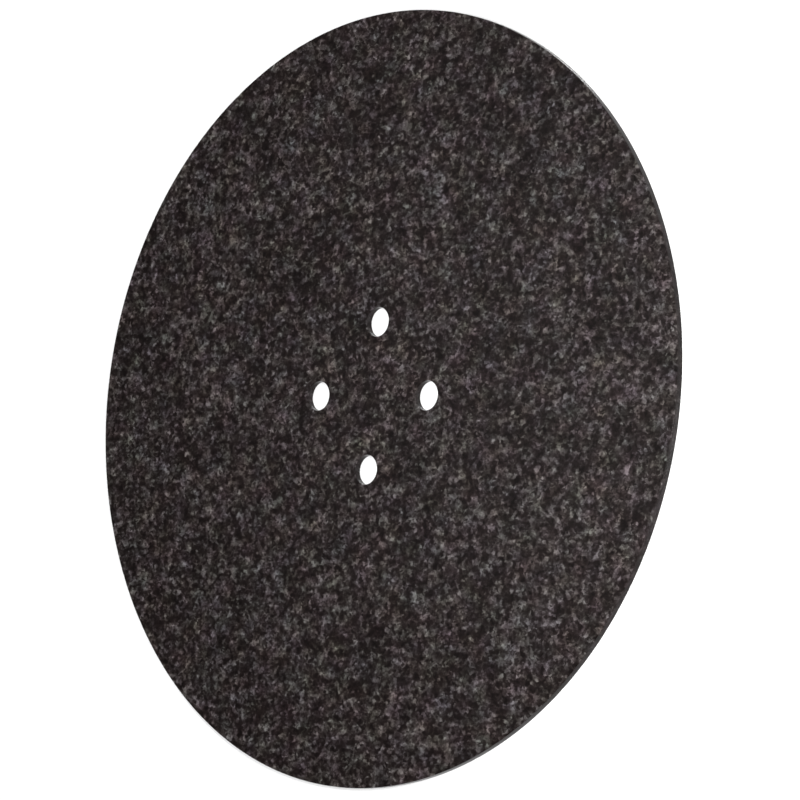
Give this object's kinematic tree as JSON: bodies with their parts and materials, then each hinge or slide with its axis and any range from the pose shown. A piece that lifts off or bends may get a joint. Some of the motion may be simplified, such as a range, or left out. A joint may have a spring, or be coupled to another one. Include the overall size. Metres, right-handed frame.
{
  "type": "granite slab",
  "caption": "Thin round slab of dark speckled granite with a ring of plain through holes near its centre for bolting it down or bolting something to it.",
  "frame": {"origin": "centre of the slab's lower face", "axes": "+Z is the slab's axis and points up out of its upper face; +X and +Y each run through the centre of a hole"},
  "size_m": [0.4199, 0.42, 0.004],
  "materials": {
    "granite": "honed faces with a finely polished rim"
  },
  "bodies": {
    "root": {"slab": "granite"}
  },
  "joints": []
}
